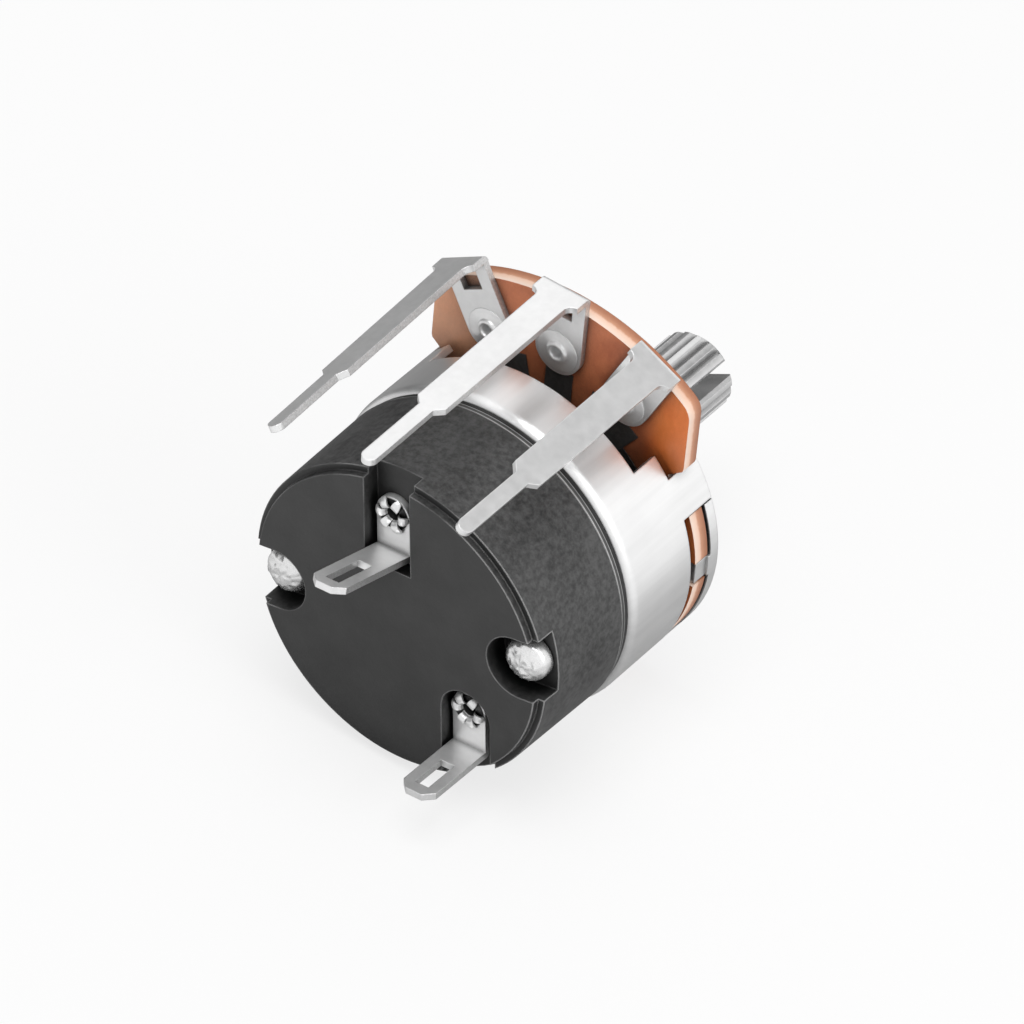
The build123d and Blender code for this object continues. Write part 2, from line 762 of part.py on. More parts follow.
# Shaft: splined and split for a push-on knob, with a collar behind the bushing and flats for the rotor
with BuildPart() as shaft:
    with BuildSketch(along()):
        with BuildLine():
            Polyline(
                (0, -journal_depth),
                (journal_radius, -journal_depth),
                (journal_radius, hub_front),
                (collar_radius, hub_front),
                (collar_radius, collar_front),
                (shaft_radius, collar_front),
                (shaft_radius, groove_rear),
                (ring_groove_radius, groove_rear),
                (ring_groove_radius, groove_front),
                (shaft_radius, groove_front),
                (shaft_radius, shaft_tip - shaft_chamfer),
                (shaft_radius - shaft_chamfer, shaft_tip),
                (0, shaft_tip),
                close=True,
            )
        make_face()
    revolve(axis=Axis.Y)
    groove = 2 * spline_depth
    with BuildSketch(across(shaft_tip - spline_length)):
        with PolarLocations(shaft_radius - spline_depth, spline_teeth):
            Polygon((0, 0), (groove, spline_width), (groove, -spline_width), align=None)
    extrude(amount=2 * spline_length, mode=Mode.SUBTRACT)
    with BuildSketch(across(shaft_tip - split_depth, split_turn)):
        Rectangle(split_width, 4 * shaft_radius)
    extrude(amount=2 * split_depth, mode=Mode.SUBTRACT)
    with BuildSketch(across(-journal_depth)):
        with Locations(*[(side * (journal_flat + journal_radius), 0) for side in (1, -1)]):
            Rectangle(2 * journal_radius, 4 * journal_radius)
    extrude(amount=journal_depth + hub_front, mode=Mode.SUBTRACT)
finish(shaft.part, "shaft")

# Retaining ring: a C-ring in the groove of the shaft, in front of the bushing
with BuildPart() as retaining_ring:
    with BuildSketch(across(groove_rear)):
        ring_piece(ring_groove_radius + fit_gap, ring_outer, 0, half_turn - ring_gap_half)
    extrude(amount=ring_thickness)
finish(retaining_ring.part, "retaining_ring")

# Rotor: a moulded disc on the shaft's flats, with the stop lug, the hub and the spindle to the switch
with BuildPart() as rotor:
    with BuildSketch(along()):
        with BuildLine():
            Polyline(
                (0, -spindle_depth),
                (spindle_radius, -spindle_depth),
                (spindle_radius, hub_rear),
                (hub_radius, hub_rear),
                (hub_radius, rotor_rear),
                (rotor_radius, rotor_rear),
                (rotor_radius, rotor_front),
                (hub_neck, rotor_front),
                (hub_neck, hub_front),
                (0, hub_front),
                close=True,
            )
        make_face()
    revolve(axis=Axis.Y)
    with BuildSketch(across(rotor_rear)):
        ring_piece(rotor_lug_root, rotor_lug_reach, rotor_lug_turn, rotor_lug_half)
    extrude(amount=rotor_thickness)
    with BuildSketch(across(-journal_depth - fit_gap)):
        Circle(journal_radius + fit_gap)
        Rectangle(2 * (journal_flat + fit_gap), 4 * journal_radius, mode=Mode.INTERSECT)
    extrude(amount=journal_depth + fit_gap + hub_front, mode=Mode.SUBTRACT)
    with BuildSketch(across(-spindle_depth)):
        with Locations(*[(side * (spindle_flat + spindle_radius), 0) for side in (1, -1)]):
            Rectangle(2 * spindle_radius, 4 * spindle_radius)
    extrude(amount=spindle_depth + cam_front, mode=Mode.SUBTRACT)
finish(rotor.part, "rotor")

# Wiper: a spring ring on the rotor, with fingers out to the track and fingers in to the collector
with BuildPart() as wiper:
    with BuildSketch(across(rotor_front)):
        Circle(wiper_base_outer)
        Circle(wiper_base_inner, mode=Mode.SUBTRACT)
    extrude(amount=wiper_sheet)
    touch = print_face - wiper_touch_gap - wiper_sheet / 2
    rest = rotor_front + wiper_sheet / 2
    for turn, start, knee, contact in (
        (wiper_turn, wiper_base_inner + finger_root, outer_knee, track_middle),
        (wiper_turn + half_turn, wiper_base_outer - finger_root, inner_knee, collector_middle),
    ):
        tip = finger_tip_reach if contact > start else -finger_tip_reach
        for number in range(finger_count):
            shift = (number - (finger_count - 1) / 2) * finger_pitch - finger_width / 2
            with BuildSketch(along(turn).offset(shift)):
                with BuildLine():
                    rise = Polyline((start, rest), (knee, rest), (contact - tip, touch - finger_tip_rise))
                    ThreePointArc(rise @ 1, (contact, touch), (contact + tip, touch - finger_tip_rise))
                trace(line_width=wiper_sheet)
            extrude(amount=finger_width)
finish(wiper.part, "wiper")

# Switch cam: turns with the rotor, its lobe lifts the leaf off the fixed contact at the start of the travel
with BuildPart() as switch_cam:
    with BuildSketch(across(cam_rear)):
        Circle(cam_radius)
    extrude(amount=cam_front - cam_rear)
    with BuildSketch(across(cavity_floor + leaf_lift)):
        ring_piece(cam_lobe_root, cam_lobe_radius, switch_turn - 90, cam_lobe_half)
    extrude(amount=leaf_width)
    with BuildSketch(across(-spindle_depth - fit_gap)):
        Circle(spindle_radius + fit_gap)
        Rectangle(2 * (spindle_flat + fit_gap), 4 * spindle_radius, mode=Mode.INTERSECT)
    extrude(amount=spindle_depth + fit_gap + cam_front, mode=Mode.SUBTRACT)
finish(switch_cam.part, "switch_cam")
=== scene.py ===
import json
import random
from math import cos, pi, radians, sin

import bmesh
import bpy
from mathutils import Matrix, Vector, noise


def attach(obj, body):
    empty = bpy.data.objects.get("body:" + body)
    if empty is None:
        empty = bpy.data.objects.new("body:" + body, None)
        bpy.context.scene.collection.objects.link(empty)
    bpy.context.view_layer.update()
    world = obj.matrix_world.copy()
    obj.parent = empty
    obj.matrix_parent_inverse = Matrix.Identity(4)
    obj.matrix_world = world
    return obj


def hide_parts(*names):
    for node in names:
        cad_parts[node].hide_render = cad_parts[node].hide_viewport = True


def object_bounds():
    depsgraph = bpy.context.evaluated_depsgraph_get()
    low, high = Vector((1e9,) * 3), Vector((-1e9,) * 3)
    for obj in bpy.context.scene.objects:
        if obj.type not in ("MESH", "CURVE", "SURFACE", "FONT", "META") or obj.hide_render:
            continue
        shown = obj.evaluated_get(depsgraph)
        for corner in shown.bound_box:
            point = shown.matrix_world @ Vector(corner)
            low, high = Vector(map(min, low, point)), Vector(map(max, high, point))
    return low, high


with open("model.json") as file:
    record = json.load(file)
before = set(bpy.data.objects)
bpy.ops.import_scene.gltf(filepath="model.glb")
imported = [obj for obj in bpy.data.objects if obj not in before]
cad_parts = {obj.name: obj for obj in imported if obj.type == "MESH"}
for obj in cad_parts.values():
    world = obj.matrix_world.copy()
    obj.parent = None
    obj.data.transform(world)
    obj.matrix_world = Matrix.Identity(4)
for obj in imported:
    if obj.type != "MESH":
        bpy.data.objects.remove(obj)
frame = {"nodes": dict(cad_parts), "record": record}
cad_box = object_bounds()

# A switched potentiometer on a white table. Metres; the shaft points along -Y and the terminals along +Z.
MM = 0.001
IMAGE_SIZE = 1024
SENSOR = 36.0

nodes = frame["nodes"]

# Camera, placed as the photograph was taken: long lens, from behind, above and the left
CAMERA_AZIMUTH = 212.9155
CAMERA_ELEVATION = 41.5306
CAMERA_ROLL = 5.6077
CAMERA_FOCAL_PIXELS = 9000
CAMERA_DISTANCE = 0.60275
CAMERA_TARGET = Vector((0, 10.2 * MM, 0))
TARGET_PIXEL = (478.98, 552.86)


def camera_basis(azimuth, elevation, roll):
    """Right, up and back of a camera that stands at an azimuth from -Y and at an elevation."""
    az, el, r = radians(azimuth), radians(elevation), radians(roll)
    back = Vector((sin(az) * cos(el), -cos(az) * cos(el), sin(el)))
    right = Vector((0, 0, 1)).cross(back).normalized()
    up = back.cross(right)
    return right * cos(r) + up * sin(r), up * cos(r) - right * sin(r), back


def stand(basis, place):
    """Matrix of a camera or lamp that stands at a place, from its right, up and back."""
    return Matrix([(*(axis[k] for axis in basis), place[k]) for k in range(3)] + [(0, 0, 0, 1)])


right, up, back = camera_basis(CAMERA_AZIMUTH, CAMERA_ELEVATION, CAMERA_ROLL)
metres_per_pixel = CAMERA_DISTANCE / CAMERA_FOCAL_PIXELS
aim = CAMERA_TARGET + right * (IMAGE_SIZE / 2 - TARGET_PIXEL[0]) * metres_per_pixel
aim = aim + up * (TARGET_PIXEL[1] - IMAGE_SIZE / 2) * metres_per_pixel
camera_data = bpy.data.cameras.new("camera")
camera_data.sensor_width = SENSOR
camera_data.lens = SENSOR * CAMERA_FOCAL_PIXELS / IMAGE_SIZE
camera_data.clip_start = 0.05
camera_data.clip_end = 20
camera = bpy.data.objects.new("camera", camera_data)
camera.matrix_world = stand((right, up, back), aim + back * CAMERA_DISTANCE)
bpy.context.scene.collection.objects.link(camera)
bpy.context.scene.camera = camera
bpy.context.scene.view_settings.view_transform = "Standard"


# Node tools for the materials
class Shader:
    """A material or world under construction: makes nodes and joins them."""

    def __init__(self, owner):
        owner.use_nodes = True
        self.tree = owner.node_tree
        self.tree.nodes.clear()

    def node(self, kind, values=None, **settings):
        """Make a node; a value is either another node's socket, to link, or a plain value."""
        made = self.tree.nodes.new(kind)
        for name, value in settings.items():
            setattr(made, name, value)
        for name, value in (values or {}).items():
            socket = made.inputs[name]
            if isinstance(value, bpy.types.NodeSocket):
                self.tree.links.new(value, socket)
            else:
                socket.default_value = value
        return made

    def position(self, scale):
        """Place in the object's frame, times a scale for each axis."""
        coordinates = self.node("ShaderNodeTexCoord").outputs["Object"]
        return self.node("ShaderNodeMapping", {"Vector": coordinates, "Scale": scale}).outputs["Vector"]

    def noise(self, size, detail=4.0, rough=0.55, stretch=(1, 1, 1)):
        """Noise whose blotches are about this size in millimetres."""
        vector = self.position(tuple(axis / (size * MM) for axis in stretch))
        values = {"Vector": vector, "Scale": 1.0, "Detail": detail, "Roughness": rough}
        return self.node("ShaderNodeTexNoise", values).outputs["Fac"]

    def ramp(self, factor, stops):
        """Colour ramp from a list of (place, colour or grey)."""
        made = self.node("ShaderNodeValToRGB", {"Fac": factor})
        elements = made.color_ramp.elements
        while len(elements) < len(stops):
            elements.new(0.5)
        for element, (place, colour) in zip(elements, stops):
            element.position = place
            element.color = (*colour, 1) if isinstance(colour, tuple) else (colour, colour, colour, 1)
        return made.outputs["Color"]

    def mix(self, factor, first, second, blend="MIX"):
        """Two colours mixed by a factor; the indices are the colour sockets of the mix node."""
        made = self.node("ShaderNodeMix", data_type="RGBA", blend_type=blend)
        for index, value in ((0, factor), (6, first), (7, second)):
            if isinstance(value, bpy.types.NodeSocket):
                self.tree.links.new(value, made.inputs[index])
            elif isinstance(value, tuple):
                made.inputs[index].default_value = (*value, 1)
            else:
                made.inputs[index].default_value = value
        return made.outputs[2]

    def math(self, operation, first, second=0.0):
        """Result of a sum on one or two values."""
        made = self.node("ShaderNodeMath", operation=operation)
        for index, value in enumerate((first, second)):
            if isinstance(value, bpy.types.NodeSocket):
                self.tree.links.new(value, made.inputs[index])
            else:
                made.inputs[index].default_value = value
        return made.outputs[0]

    def between(self, factor, low, high):
        """A factor spread from low to high."""
        values = {"Value": factor, "To Min": low, "To Max": high}
        return self.node("ShaderNodeMapRange", values).outputs["Result"]

    def bump(self, height, depth, strength, normal):
        """Bump of a height map on a normal, its depth in millimetres."""
        values = {"Height": height, "Distance": depth * MM, "Strength": strength, "Normal": normal}
        return self.node("ShaderNodeBump", values).outputs["Normal"]

    def soft_edges(self, radius):
        """Normal that turns smoothly over each edge, as if it had this radius in millimetres."""
        return self.node("ShaderNodeBevel", {"Radius": radius * MM}, samples=4).outputs["Normal"]

    def edge_mask(self, radius):
        """One at the edges of the shape and nought a radius away from them."""
        sharp = self.node("ShaderNodeNewGeometry").outputs["Normal"]
        dot = self.node("ShaderNodeVectorMath", {0: self.soft_edges(radius), 1: sharp}, operation="DOT_PRODUCT")
        values = {"Value": dot.outputs["Value"], "From Min": 1.0, "From Max": 0.8}
        return self.node("ShaderNodeMapRange", values).outputs["Result"]

    def axis(self, index, source="Object"):
        """One coordinate of the place (Object) or of the face's direction (Normal), in the object's frame."""
        split = self.node("ShaderNodeSeparateXYZ", {0: self.node("ShaderNodeTexCoord").outputs[source]})
        return split.outputs[index]

    def from_shaft(self):
        """Distance from the axis of the shaft."""
        place = self.node("ShaderNodeTexCoord").outputs["Object"]
        flat = self.node("ShaderNodeVectorMath", {0: place, 1: (1, 0, 1)}, operation="MULTIPLY").outputs["Vector"]
        return self.node("ShaderNodeVectorMath", {0: flat}, operation="LENGTH").outputs["Value"]

    def corner_shade(self, reach, dark):
        """Painted shade: from dark in a corner to one in the open, so recesses and gaps between parts look shaded."""
        open_share = self.node("ShaderNodeAmbientOcclusion", {"Distance": reach * MM}, samples=4).outputs["AO"]
        values = {"Value": open_share, "From Min": 0.4, "From Max": 0.9, "To Min": dark}
        return self.node("ShaderNodeMapRange", values).outputs["Result"]

    def step(self, value, start, end):
        """Smooth step from nought at start to one at end."""
        values = {"Value": value, "From Min": start, "From Max": end}
        return self.node("ShaderNodeMapRange", values, interpolation_type="SMOOTHSTEP").outputs["Result"]

    def finish(self, **sockets):
        """Principled surface with the values or links of its named sockets."""
        shader = self.node("ShaderNodeBsdfPrincipled")
        for name, value in sockets.items():
            socket = shader.inputs[name.replace("_", " ")]
            if isinstance(value, bpy.types.NodeSocket):
                self.tree.links.new(value, socket)
            elif isinstance(value, tuple):
                socket.default_value = (*value, 1)
            else:
                socket.default_value = value
        self.node("ShaderNodeOutputMaterial", {"Surface": shader.outputs["BSDF"]})


def grey(value):
    """Colour of a grey value."""
    return (value, value, value)


def black_moulding():
    """Charcoal moulding compound: a smooth end face, grain and painted sheen round the sides, painted edge highlights.
    """
    material = bpy.data.materials.new("black_moulding")
    s = Shader(material)
    cloud = s.noise(3.2, 3)
    grain = s.noise(0.42, 4, 0.68)
    sides = s.step(s.math("ABSOLUTE", s.axis(1, "Normal")), 0.8, 0.3)
    face = s.ramp(cloud, [(0.35, grey(0.033)), (0.65, grey(0.041))])
    # The sides carry real grain and painted sheen: broad lighter and darker blotches, lighter overall than the end
    # face.
    side_grain_and_sheen = s.mix(0.6, s.ramp(cloud, [(0.38, grey(0.034)), (0.66, grey(0.076))]),
                       s.ramp(grain, [(0.36, grey(0.014)), (0.64, grey(0.098))]))
    # Painted highlights on the edges: pale in patches, brightest on the outer rim on the -X side, where the light
    # falls.
    patchy = s.between(s.step(s.noise(5.0, 2), 0.38, 0.62), 0.1, 0.6)
    on_rim = s.step(s.from_shaft(), 11.1 * MM, 11.5 * MM)
    on_right = s.step(s.axis(0), -2 * MM, -6 * MM)
    lit_rim_highlight = s.math("MULTIPLY", on_rim, on_right)
    edge = s.math("MULTIPLY", s.edge_mask(0.17), s.math("MAXIMUM", patchy, lit_rim_highlight))
    colour = s.mix(edge, s.mix(sides, face, side_grain_and_sheen), grey(0.62))
    # Painted shade: the moulding goes black in slots, notches and corners.
    colour = s.mix(1.0, colour, s.corner_shade(3.8, 0.0), "MULTIPLY")
    s.finish(Base_Color=colour, Roughness=s.between(grain, 0.36, 0.52), Specular_IOR_Level=0.4,
             Normal=s.bump(grain, 0.03, 0.6, s.soft_edges(0.14)))
    return material


def cover_edge():
    """Edge of the cover disc between the moulding and the can: painted shade with two thin painted highlights round it.
    """
    material = bpy.data.materials.new("cover_edge")
    s = Shader(material)
    marks = s.noise(0.5, 2, 0.5, (1.0, 6.0, 1.0))
    # Painted bands across the edge: dark bands of painted shade and two thin bands of painted highlight.
    across_edge = s.step(s.axis(1), 9.80 * MM, 10.55 * MM)
    light_and_shade_bands = s.ramp(across_edge, [(0.0, grey(0.05)), (0.30, grey(0.03)), (0.37, grey(0.75)), (0.44, grey(0.10)),
                                 (0.80, grey(0.12)), (0.90, grey(0.85))])
    s.finish(Base_Color=s.mix(0.5, light_and_shade_bands, marks, "MULTIPLY"), Metallic=0.6, Roughness=s.between(marks, 0.3, 0.42),
             Normal=s.soft_edges(0.1))
    return material


def plated(name, base, rough, size, stretch, tint=(1.0, 1.0, 1.0), metal=1.0, edge=0.08, shade_reach=0.0, shaded_share=0.12,
           sheared=1.0):
    """Plated sheet: rolling marks along one direction, faint cloudy patches and softly rounded edges.

    Shade reach is the reach of the painted shade in corners in millimetres, shaded share is what stays of the colour
    there, and sheared is the share of the colour that shows on cut sides.
    """
    material = bpy.data.materials.new(name)
    s = Shader(material)
    marks = s.noise(size, 2, 0.5, stretch)
    cloud = s.noise(4.0, 2)
    tones = [(0.3, base * 0.93), (0.7, min(base * 1.04, 0.98))]
    colour = s.mix(1.0, s.mix(0.5, s.ramp(cloud, tones), s.ramp(marks, tones)), tint, "MULTIPLY")
    if sheared < 1.0:
        cut_side = s.step(s.math("ABSOLUTE", s.axis(0, "Normal")), 0.6, 0.85)
        streaks = s.ramp(s.noise(0.12, 2), [(0.3, sheared * 0.8), (0.7, sheared * 1.1)])
        colour = s.mix(1.0, colour, s.mix(cut_side, grey(1.0), streaks), "MULTIPLY")
    # Painted shade: the colour darkens in corners and recesses, where shade falls.
    if shade_reach:
        colour = s.mix(1.0, colour, s.corner_shade(shade_reach, shaded_share), "MULTIPLY")
    s.finish(Base_Color=colour, Metallic=metal, Roughness=s.between(marks, rough - 0.05, rough + 0.05),
             Normal=s.soft_edges(edge))
    return material


def moulded(name, dark, light, roughness):
    """Plain moulded plastic or printed ink with a little grain."""
    material = bpy.data.materials.new(name)
    s = Shader(material)
    grain = s.noise(0.25, 5, 0.65)
    s.finish(Base_Color=s.ramp(grain, [(0.3, dark), (0.7, light)]),
             Roughness=s.between(grain, roughness - 0.08, roughness + 0.08),
             Normal=s.bump(grain, 0.01, 0.5, s.soft_edges(0.08)))
    return material


def phenolic_board():
    """Pressed phenolic paper: red-brown faces, painted tan and orange as light towards the sides; a paler punched edge.
    """
    material = bpy.data.materials.new("phenolic_board")
    s = Shader(material)
    fibre = s.noise(0.3, 6, 0.7, (1.0, 1.0, 0.4))
    patch = s.noise(3.0, 3)
    middle = s.ramp(patch, [(0.3, (0.52, 0.145, 0.065)), (0.7, (0.82, 0.28, 0.13))])
    # Painted light: the faces turn tan towards +X and orange towards -X, as the light falls on them.
    painted_light_tan_side = s.ramp(patch, [(0.3, (0.90, 0.43, 0.25)), (0.7, (0.97, 0.52, 0.32))])
    painted_light_orange_side = s.ramp(patch, [(0.3, (0.92, 0.20, 0.035)), (0.7, (0.98, 0.27, 0.06))])
    across = s.axis(0)
    face = s.mix(s.step(across, 5.6 * MM, 7.2 * MM), middle, painted_light_tan_side)
    face = s.mix(s.step(across, -6.6 * MM, -8.6 * MM), face, painted_light_orange_side)
    face = s.mix(0.2, face, s.ramp(fibre, [(0.3, (0.34, 0.080, 0.030)), (0.7, (0.76, 0.28, 0.12))]))
    punched = s.step(s.math("ABSOLUTE", s.axis(1, "Normal")), 0.6, 0.35)
    depth = s.math("ADD", s.axis(1), s.math("MULTIPLY", s.math("SUBTRACT", fibre, 0.5), 0.3 * MM))
    rim = s.ramp(s.step(depth, 1.15 * MM, 2.5 * MM), [(0.0, (0.42, 0.17, 0.09)), (0.42, (0.62, 0.31, 0.19)),
                                                     (0.6, (0.90, 0.60, 0.45)), (1.0, (0.95, 0.74, 0.62))])
    # Painted shade: the faces darken in corners and under the terminals, down to black.
    colour = s.mix(punched, s.mix(1.0, face, s.corner_shade(4.0, 0.0), "MULTIPLY"), rim)
    s.finish(Base_Color=colour, Roughness=s.between(fibre, 0.38, 0.55),
             Normal=s.bump(fibre, 0.012, 0.5, s.soft_edges(0.12)))
    return material


# Stretch of the rolling marks along X, Y and Z: a smaller number makes longer marks
ALONG_SHAFT = (1.0, 0.06, 1.0)
ACROSS_SHEET = (1.0, 1.0, 1.0)
RINGS = (0.05, 1.0, 0.05)
materials = {
    "black_moulding": black_moulding(),
    "phenolic_board": phenolic_board(),
    "tin_plate": plated("tin_plate", 0.92, 0.35, 0.5, ALONG_SHAFT, metal=0.93, edge=0.15, shade_reach=1.0, shaded_share=0.3),
    "tinned_lug": plated("tinned_lug", 0.87, 0.34, 0.6, ACROSS_SHEET, metal=0.7, edge=0.1, shade_reach=0.5, shaded_share=0.4,
                         sheared=0.72),
    "tinned_eyelet": plated("tinned_eyelet", 0.86, 0.34, 0.35, ACROSS_SHEET, metal=0.6, shade_reach=0.4, shaded_share=0.1),
    "steel_rivet": plated("steel_rivet", 0.86, 0.26, 0.3, ACROSS_SHEET, metal=0.8, shade_reach=1.0),
    "nickel_plate": plated("nickel_plate", 0.74, 0.3, 0.3, RINGS, (1.0, 0.985, 0.95)),
    "shaft_metal": plated("shaft_metal", 0.74, 0.34, 0.25, RINGS, edge=0.1, shade_reach=0.5, shaded_share=0.4),
    "ring_steel": plated("ring_steel", 0.45, 0.38, 0.3, ACROSS_SHEET),
    "spring_bronze": plated("spring_bronze", 0.9, 0.3, 0.3, ALONG_SHAFT, (0.85, 0.52, 0.28)),
    "contact_brass": plated("contact_brass", 0.9, 0.3, 0.3, ALONG_SHAFT, (0.86, 0.64, 0.32)),
    "silver_contact": plated("silver_contact", 0.88, 0.25, 0.2, ACROSS_SHEET),
    "carbon_ink": moulded("carbon_ink", grey(0.012), grey(0.03), 0.6),
    # The silver ink is nearly black: painted shade for the pads past the can's cutout, which lie in shadow.
    "silver_ink": moulded("silver_ink", grey(0.035), grey(0.07), 0.5),
    "brown_moulding": moulded("brown_moulding", (0.09, 0.045, 0.022), (0.18, 0.095, 0.05), 0.5),
    "white_moulding": moulded("white_moulding", (0.66, 0.65, 0.6), (0.8, 0.79, 0.75), 0.4),
}
slot_of = {part["node"]: part["material_slot"] for part in frame["record"]["subparts"]}
for name, node in nodes.items():
    node.data.materials.clear()
    node.data.materials.append(materials[slot_of[name]])
nodes["switch_cover"].data.materials[0] = cover_edge()


# Pieces that stand for CAD nodes with their real detail. Profiles are (radius, y) in millimetres.
SWITCH_TURN = 5.6
RIVET_TURN = 11.0
RIVET_CIRCLE = 10.0
EYELET_CIRCLE = 13.2
TERMINAL_TURNS = (25.3, 0.0, -25.3)
LUG_CENTRES = ((0.8, 8.25), (-5.3, -5.5))
NO_CENTRE = (0.0, 0.0)
rng = random.Random(7)

PETALS = 6
PETAL_SHEET = 0.15
PETAL_ROOT = 0.52
PETAL_DISH = 0.05
PETAL_CURLED = 4
PETAL_SIDES = (-1.0, -0.5, 0.0, 0.5, 1.0)
PAINTED_SHADE_BELOW = 18.53

CROWN_FROM = 17.8
CROWN_TOP = 19.3
RIVET_RISE = 0.35
DENT_DEPTH = 0.13
DENTS_PER_MM = 3.6

SLEEVE_BORE = 3.04
SHOULDER_RADIUS = 4.9
SHOULDER_REAR = 1.1
THREAD_START = 0.35
THREAD_LENGTH = 5.9
THREAD_PITCH = 0.75
THREAD_CREST = 3.5
THREAD_ROOT = 3.13
THREAD_STEPS = 60
FLANK_SLOPE = 3.2
CREST_SHARE = 0.3
SLEEVE_END = -6.5


def turned(point, turn):
    """X and Z of a point given in a frame that is turned about the shaft."""
    x, z = point
    c, s = cos(radians(turn)), sin(radians(turn))
    return (x * c + z * s, -x * s + z * c)


def lathe(bm, profile, centre=NO_CENTRE, segments=40, shape=None):
    """Turn a closed (radius, y) profile about an axis along Y; shape may move a point at its angle."""
    rings = []
    for k in range(segments):
        angle = 2 * pi * k / segments
        ring = []
        for radius, y in profile:
            r, height = shape(radius, y, angle) if shape else (radius, y)
            place = (centre[0] + r * cos(angle), height, centre[1] + r * sin(angle))
            ring.append(bm.verts.new([axis * MM for axis in place]))
        rings.append(ring)
    for k in range(segments):
        first, second = rings[k], rings[(k + 1) % segments]
        for n in range(len(profile)):
            m = (n + 1) % len(profile)
            bm.faces.new((first[n], first[m], second[m], second[n]))


def piece(name, bm, slot_name, node, angle=35):
    """Finish a mesh piece that rides on the body and stands for a node; edges past the angle stay sharp."""
    bmesh.ops.remove_doubles(bm, verts=bm.verts, dist=0.0005 * MM)
    bmesh.ops.recalc_face_normals(bm, faces=bm.faces)
    mesh = bpy.data.meshes.new(name)
    bm.to_mesh(mesh)
    bm.free()
    mesh.polygons.foreach_set("use_smooth", [True] * len(mesh.polygons))
    mesh.set_sharp_from_angle(angle=radians(angle))
    mesh.materials.append(materials[slot_name])
    made = bpy.data.objects.new(name, mesh)
    bpy.context.scene.collection.objects.link(made)
    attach(made, "body")
    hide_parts(node)
    return made


# Eyelets of the terminals: a flat flange, a rolled lip and a hollow shank clenched under the board
bm = bmesh.new()
rolled = [(0.95, 3.0), (1.62, 3.0), (1.60, 3.025), (1.52, 3.04), (0.92, 3.06), (0.83, 3.10), (0.77, 3.20), (0.70, 3.27),
          (0.60, 3.29), (0.50, 3.25), (0.44, 3.12), (0.42, 2.9), (0.42, 1.2), (0.50, 0.92), (0.66, 0.81), (0.95, 0.81),
          (1.20, 0.88), (1.29, 1.0), (1.27, 1.09), (0.95, 1.09)]
for turn in TERMINAL_TURNS:
    lathe(bm, rolled, turned((0, EYELET_CIRCLE), turn))
piece("terminal_eyelets_rolled", bm, "tinned_eyelet", "terminal_eyelets")

# Eyelets of the lugs: a shank whose end is split into petals that curl out over the lug
bm = bmesh.new()
shank = [(0.50, 18.42), (0.60, 18.50), (0.68, 18.52), (1.22, 18.52), (1.22, 18.505), (0.69, 18.505), (0.69, 16.2),
         (0.95, 16.2), (0.95, 15.92), (0.50, 15.92)]
# Rows of a petal: radius, y and half its width in degrees
curl = [(PETAL_ROOT, 18.45, 27), (0.60, 18.74, 26), (0.76, 18.92, 23), (0.98, 18.97, 19), (1.18, 18.92, 16),
        (1.36, 18.78, 12), (1.46, 18.60, 7)]
for centre in LUG_CENTRES:
    middle = turned(centre, SWITCH_TURN)
    lathe(bm, shank, middle, 32)
    for k in range(PETALS):
        heading = 2 * pi * (k + rng.uniform(-0.12, 0.12)) / PETALS
        reach = rng.uniform(0.86, 1.03)
        twist = radians(rng.uniform(-5, 5))
        layers = []
        for sunk in (0.0, PETAL_SHEET):
            grid = []
            for n, (radius, y, half) in enumerate(curl):
                r = PETAL_ROOT + (radius - PETAL_ROOT) * reach - sunk * (0.9 if n > PETAL_CURLED else 0.1)
                row = []
                for side in PETAL_SIDES:
                    angle = heading + radians(half) * side + twist * n / len(curl)
                    dish = PETAL_DISH * side * side
                    place = (middle[0] + r * cos(angle), y - sunk - dish, middle[1] + r * sin(angle))
                    row.append(bm.verts.new([axis * MM for axis in place]))
                grid.append(row)
            layers.append(grid)
        top, under = layers
        last = len(curl) - 1
        strips = len(PETAL_SIDES) - 1
        for n in range(last):
            for m in range(strips):
                bm.faces.new((top[n][m], top[n][m + 1], top[n + 1][m + 1], top[n + 1][m]))
                bm.faces.new((under[n][m], under[n + 1][m], under[n + 1][m + 1], under[n][m + 1]))
            for m in (0, strips):
                bm.faces.new((top[n][m], top[n + 1][m], under[n + 1][m], under[n][m]))
        for m in range(strips):
            for n in (0, last):
                bm.faces.new((top[n][m], under[n][m], under[n][m + 1], top[n][m + 1]))
# The ring that lies low in the slot is painted black with the moulding's material, as painted shade.
split = piece("lug_eyelets_split", bm, "tinned_eyelet", "lug_eyelets", 60)
split.data.materials.append(materials["black_moulding"])
for face in split.data.polygons:
    if max(split.data.vertices[k].co.y for k in face.vertices) < PAINTED_SHADE_BELOW * MM:
        face.material_index = 1

# Rivets of the switch: hammered domes with a flattened crown
bm = bmesh.new()
head = [(0.0, 8.8), (1.5, 8.8), (1.5, 9.3), (1.0, 9.3), (1.0, 17.5), (1.60, 17.5), (1.65, 17.56), (1.65, 17.82),
        (1.62, 17.97), (1.54, 18.14), (1.42, 18.30), (1.26, 18.44), (1.08, 18.55), (0.92, 18.60), (0.84, 18.66),
        (0.66, 18.71), (0.42, 18.74), (0.2, 18.75), (0.0, 18.75)]


def hammered(offset):
    """Shape for the lathe that dents the crown of a rivet."""
    def dent(radius, y, angle):
        if y < CROWN_FROM:
            return radius, y
        at = Vector((radius * cos(angle) * DENTS_PER_MM + offset, radius * sin(angle) * DENTS_PER_MM, offset))
        return radius, min(y + RIVET_RISE + DENT_DEPTH * noise.noise(at), CROWN_TOP)
    return dent


for k, side in enumerate((1, -1)):
    lathe(bm, head, turned((side * RIVET_CIRCLE, 0), RIVET_TURN), 48, hammered(5.0 * k + 1.3))
piece("switch_rivets_hammered", bm, "steel_rivet", "switch_rivets")

